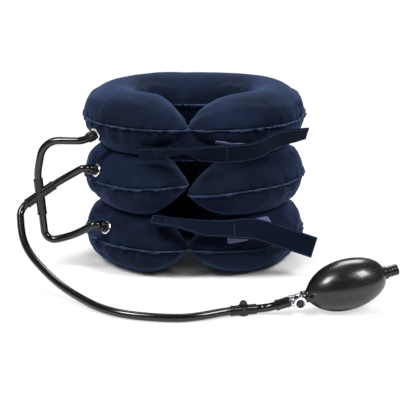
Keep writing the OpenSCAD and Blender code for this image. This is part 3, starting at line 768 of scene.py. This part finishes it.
def stitches(name, rows, length, step):
    """Short threads laid end to end along rows of (points, directions out of the cloth)."""
    points, faces = [], []
    for line, out in rows:
        run = np.concatenate([[0], np.cumsum(np.linalg.norm(np.diff(line, axis=0), axis=1))])
        for begin in np.arange(step / 2, run[-1] - length, step):
            ends = []
            for at in (begin, begin + length * 0.5, begin + length):
                p = np.array([np.interp(at, run, line[:, k]) for k in range(3)])
                o = np.array([np.interp(at, run, out[:, k]) for k in range(3)])
                ends.append((p, o / np.linalg.norm(o)))
            side = np.cross(ends[1][1], ends[2][0] - ends[0][0])
            side /= np.linalg.norm(side)
            first = len(points)
            for (p, o), rise in zip(ends, (0.05, 0.34, 0.05)):
                for a, b in ((-0.24, -0.3), (0.24, -0.3), (0.14, rise), (-0.14, rise)):
                    points.append(p + (a * side + b * o) * MM)
            for r in (0, 4):
                for k in range(4):
                    m = (k + 1) % 4
                    faces.append((first + r + k, first + r + m, first + r + 4 + m, first + r + 4 + k))
            faces.append(tuple(first + k for k in (3, 2, 1, 0)))
            faces.append(tuple(first + 8 + k for k in range(4)))
    return add_mesh(name, points, faces, THREAD)


def front_rows(cloth, cross_rows):
    """Stitch lines along both hems and across the strap at some shares of its length."""
    surface, half, toward = cloth
    front = toward * (-1 if toward.mean(0)[1] > 0 else 1)
    top = surface + np.linalg.norm(half, axis=2, keepdims=True) * front[:, None]
    out = np.repeat(front[:, None], ACROSS, 1)
    rows = [(top[:, j], out[:, j]) for j in (3, ACROSS - 4)]
    for share in cross_rows:
        i = int(share * (len(top) - 1))
        rows.append((top[i, 3:-3], out[i, 3:-3]))
    return rows


def strap_rides(piece):
    """Bakes the piece's placing into its mesh."""
    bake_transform(piece)


def make_strap(side, seed):
    strap, cloth = ribbon(side + "_strap", side + "_strap_cloth", STRAP_CLOTH, 150, 0.28, 0.35 * MM, seed)
    thread = stitches(side + "_strap_thread", front_rows(cloth, (0.015, 0.1, 0.55)), 2.1 * MM, 3.1 * MM)
    for piece in (strap, thread):
        strap_rides(piece)
    tape, _ = ribbon(side + "_strap_tape", side + "_loop_tape", LOOP_TAPE, 50, 0.0, 0.0, seed + 5)
    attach(tape, side + "_strap")
    tab, _ = ribbon(side + "_strap_tab", side + "_sewn_tab", STRAP_CLOTH, 24, 0.1, 0.0, seed + 7)
    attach(tab, side + "_tab")


make_strap("upper", 3)
make_strap("lower", 9)

# ---------------------------------------------------------------------------
# Hoses: smooth copies of the CAD hoses, the lower one on its port
# ---------------------------------------------------------------------------


def make_hose(node):
    hose = refined(node, node + "_rubber", HOSE_RUBBER, 0.1 * MM)
    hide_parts(node)
    return hose


def make_hoses():
    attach(make_hose("lower_hose"), "lower_port")
    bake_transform(make_hose("upper_hose"))
    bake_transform(make_hose("middle_hose"))
    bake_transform(make_hose("main_hose"))
    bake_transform(make_hose("pump_hose"))


make_hoses()

# ---------------------------------------------------------------------------
# The coil under the relief button
# ---------------------------------------------------------------------------


def make_spring():
    """The loose coil: a smooth copy that sits on the base."""
    spring = refined("relief_spring", "relief_spring_wire", CHROME, 0)
    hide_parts("relief_spring")
    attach(spring, "base")
    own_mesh(spring)


make_spring()

# ---------------------------------------------------------------------------
# The squeeze bulb
# ---------------------------------------------------------------------------

BULB_L = 80
BULB_R = 24.5
BULB_WALL = 2.2
BALL_FROM_CENTRE = 41.55


def bulb_profile():
    """Half outline in millimetres along the pump: a full egg with rolled lips at both ends."""
    t = np.linspace(0.0, 1.0, 72)
    x = -BULB_L / 2 * np.cos(math.pi * t) + 1.5 * np.sin(math.pi * t)
    r = BULB_R * np.sin(math.pi * t) ** (1.2 - 0.4 * t)
    neck = np.where(x < 0, 5.9, 6.7)
    r = (np.maximum(r, 0) ** 6 + neck**6) ** (1 / 6)
    outer = list(zip(x, r))
    lip = [(-44.5, 4.6), (-44.5, 5.7), (-44.1, 6.3), (-43.2, 6.5), (-42.3, 6.2), (-41.6, 5.95)]
    tail = [(40.4, 6.75), (40.8, 6.9), (41.0, 6.5), (41.0, 4.9)]
    inner = np.linspace(0.97, 0.03, 40)
    xi = -(BULB_L / 2 - BULB_WALL) * np.cos(math.pi * inner) + 1.4 * np.sin(math.pi * inner)
    ri = np.maximum((BULB_R - BULB_WALL) * np.sin(math.pi * inner) ** (1.2 - 0.4 * inner), 4.6)
    return lip + outer[1:-1] + tail + list(zip(xi, ri))


def make_bulb():
    sides = 96
    direction = -Vector(joints["outlet_lift"]["axis"]).normalized()
    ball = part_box("outlet_ball")
    centre = (ball[0] + ball[1]) / 2 + BALL_FROM_CENTRE * MM * direction
    side = direction.cross(Vector((0, 0, 1))).normalized()
    up = side.cross(direction)
    profile = np.array(bulb_profile())
    rings = []
    for k in range(sides):
        a = 2 * math.pi * k / sides
        seam = 0.16 * math.exp(-((math.sin(a) / 0.05) ** 2))
        out = np.array(side * math.cos(a) + up * math.sin(a))
        r = profile[:, 1:] + seam * (profile[:, 1:] > 9)
        rings.append(np.array(centre) + (profile[:, :1] * np.array(direction) + r * out) * MM)
    bulb = loft("bulb_rubber_body", np.stack(rings), BULB_RUBBER, closed=True)
    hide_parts("bulb")
    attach(bulb, "pump")


make_bulb()

# ---------------------------------------------------------------------------
# CAD nodes that stay as they are get a finish and softened edges
# ---------------------------------------------------------------------------

FINISH = {
    "black_rubber": HOSE_RUBBER,
    "moulded_black": FITTING_BLACK,
    "bright_chrome": CHROME,
    "nickel": NICKEL,
    "bladder_film": BLADDER_FILM,
    "seal_rubber": SEAL_BLACK,
    "spring_steel": CHROME,
    "velour_navy": NAVY_VELOUR,
    "webbing_navy": STRAP_CLOTH,
    "hook_tape": HOOK_TAPE,
}


def finish_cad(node, slot):
    cad = frame["nodes"][node]
    cad.data.materials.clear()
    cad.data.materials.append(FINISH[slot])
    if cad.hide_render:
        return
    cad.data.shade_smooth()
    cad.modifiers.new("weld", "WELD").merge_threshold = 0.00001
    bevel = cad.modifiers.new("edges", "BEVEL")
    bevel.width = 0.18 * MM
    bevel.segments = 2
    bevel.angle_limit = math.radians(38)
    cad.modifiers.new("shading", "WEIGHTED_NORMAL").keep_sharp = True


for row in frame["record"]["subparts"]:
    finish_cad(row["node"], row["material_slot"])
# The screw's end shows inside the dish and gets the same painted shade
for node in ("valve_knob", "valve_spindle"):
    frame["nodes"][node].data.materials[0] = KNOB_CHROME

# ---------------------------------------------------------------------------
# Floor, light and camera
# ---------------------------------------------------------------------------


def area_light(name, place, aim, size, power, colour=(1, 1, 1)):
    data = bpy.data.lights.new(name, "AREA")
    data.shape = "RECTANGLE"
    data.size, data.size_y = size
    data.energy = power
    data.color = colour
    lamp = bpy.data.objects.new(name, data)
    bpy.context.scene.collection.objects.link(lamp)
    lamp.location = place
    lamp.rotation_euler = (Vector(aim) - Vector(place)).to_track_quat("-Z", "Y").to_euler()
    return lamp


def backdrop():
    """White to the camera, dim to everything else, so dark rubber keeps its depth."""
    world = bpy.data.worlds.new("studio")
    world.use_nodes = True
    tree = world.node_tree
    dim = tree.nodes["Background"]
    dim.inputs["Color"].default_value = (0.92, 0.96, 1, 1)
    dim.inputs["Strength"].default_value = 0.2
    white = tree.nodes.new("ShaderNodeBackground")
    white.inputs["Color"].default_value = (1, 1, 1, 1)
    white.inputs["Strength"].default_value = 1.02
    seen = tree.nodes.new("ShaderNodeLightPath")
    blend = tree.nodes.new("ShaderNodeMixShader")
    tree.links.new(seen.outputs["Is Camera Ray"], blend.inputs[0])
    tree.links.new(dim.outputs[0], blend.inputs[1])
    tree.links.new(white.outputs[0], blend.inputs[2])
    tree.links.new(blend.outputs[0], tree.nodes["World Output"].inputs["Surface"])
    return world


def studio():
    half = 6.0
    corners = [(-half, -half, 0), (half, -half, 0), (half, half, 0), (-half, half, 0)]
    floor = add_mesh("floor", corners, [(0, 1, 2, 3)], floor_paint("studio_paper"))
    floor.location.z = -0.0002
    middle = (0, COLLAR_MIDDLE_Y, 0.09)
    area_light("key_left", (-1.0, -0.9, 1.5), middle, (0.6, 0.8), 38)
    area_light("fill_right", (1.0, -0.9, 1.3), middle, (0.5, 0.7), 26)
    area_light("top", (0.1, 1.1, 1.5), middle, (1.2, 0.8), 26)
    bpy.context.scene.world = backdrop()
    bpy.context.scene.view_settings.view_transform = "Standard"


def camera():
    """Looks about 15 degrees down on the open front, nearly in line with its middle."""
    pitch = math.radians(15.33)
    distance = 1.3431
    aim = Vector((0.0061, COLLAR_MIDDLE_Y, 0.0597))
    data = bpy.data.cameras.new("camera")
    data.lens = 110.5
    data.sensor_width = 36
    view = bpy.data.objects.new("camera", data)
    bpy.context.scene.collection.objects.link(view)
    view.location = aim + distance * Vector((0, -math.cos(pitch), math.sin(pitch)))
    view.rotation_euler = (math.pi / 2 - pitch, 0, 0)
    bpy.context.scene.camera = view


studio()
camera()
